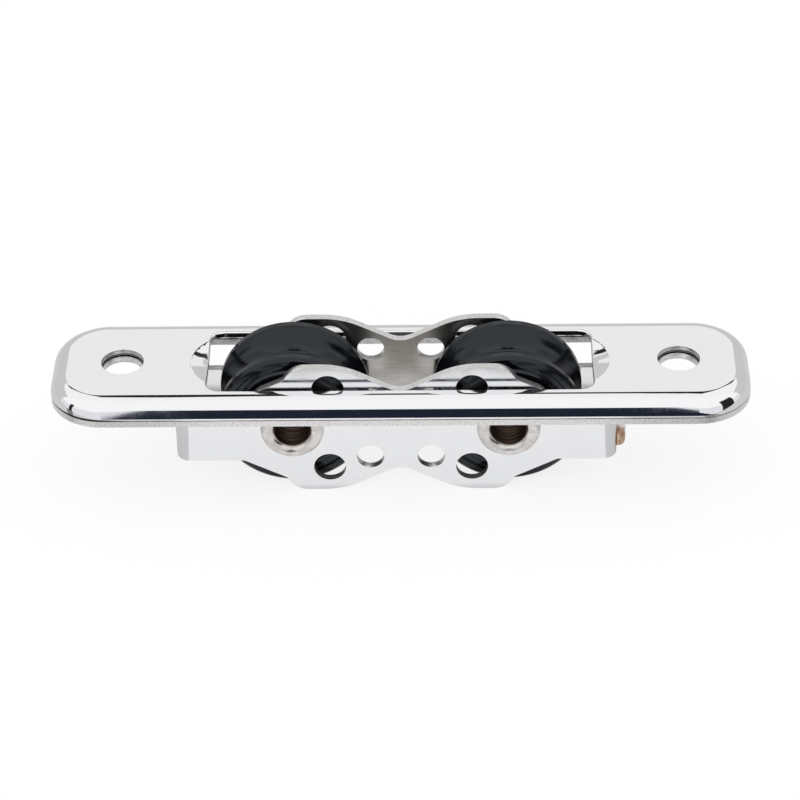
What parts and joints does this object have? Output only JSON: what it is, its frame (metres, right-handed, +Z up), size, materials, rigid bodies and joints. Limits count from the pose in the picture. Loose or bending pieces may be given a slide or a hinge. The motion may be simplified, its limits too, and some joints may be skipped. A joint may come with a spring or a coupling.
{
  "type": "tandem exit block",
  "caption": "In-line exit block: flat steel cover plate with a long opening, folded side plates below it, and grooved sheaves in line that lead ropes through a deck or spar wall.",
  "frame": {"origin": "middle of the two screw holes, on the cover's top face", "axes": "+X along the block through both screw holes, +Y across it (the picture looks from -Y), +Z up out of the deck"},
  "size_m": [0.1022, 0.0218, 0.0221],
  "materials": {
    "cover_steel": "mirror-polished stainless steel",
    "backing_steel": "plain stainless sheet with sheared edges",
    "side_plate_steel": "polished stainless stamping",
    "rivet_steel": "rolled stainless tube",
    "race_steel": "ground stainless sleeve",
    "sheave_black": "black moulded plastic",
    "roller_plastic": "white plastic rollers",
    "shield_black": "thin black plastic ring",
    "weld_metal": "heat-tinted weld bead"
  },
  "bodies": {
    "frame": {"cover_plate": "cover_steel", "backing_plate": "backing_steel", "front_side_plate": "side_plate_steel", "rear_side_plate": "side_plate_steel", "left_axle_rivet": "rivet_steel", "right_axle_rivet": "rivet_steel", "left_inner_race": "race_steel", "right_inner_race": "race_steel", "left_seam_weld": "weld_metal", "right_seam_weld": "weld_metal", "left_deck_weld": "weld_metal", "right_deck_weld": "weld_metal"},
    "left_sheave": {"left_sheave": "sheave_black", "left_front_shield": "shield_black", "left_rear_shield": "shield_black"},
    "right_sheave": {"right_sheave": "sheave_black", "right_front_shield": "shield_black", "right_rear_shield": "shield_black"},
    "left_rollers": {"left_rollers": "roller_plastic"},
    "right_rollers": {"right_rollers": "roller_plastic"}
  },
  "joints": [
    {"name": "left_sheave_spin", "type": "hinge", "parent": "frame", "child": "left_sheave", "pos_m": [-0.0158, 0, -0.0072], "axis": [0, 1, 0], "continuous": true},
    {"name": "right_sheave_spin", "type": "hinge", "parent": "frame", "child": "right_sheave", "pos_m": [0.0158, 0, -0.0072], "axis": [0, 1, 0], "continuous": true},
    {"name": "left_rollers_orbit", "type": "hinge", "parent": "frame", "child": "left_rollers", "pos_m": [-0.0158, 0, -0.0072], "axis": [0, 1, 0], "continuous": true},
    {"name": "right_rollers_orbit", "type": "hinge", "parent": "frame", "child": "right_rollers", "pos_m": [0.0158, 0, -0.0072], "axis": [0, 1, 0], "continuous": true}
  ],
  "couplings": [
    {"joint": "left_rollers_orbit", "follows": "left_sheave_spin", "ratio": 0.606},
    {"joint": "right_rollers_orbit", "follows": "right_sheave_spin", "ratio": 0.606}
  ]
}
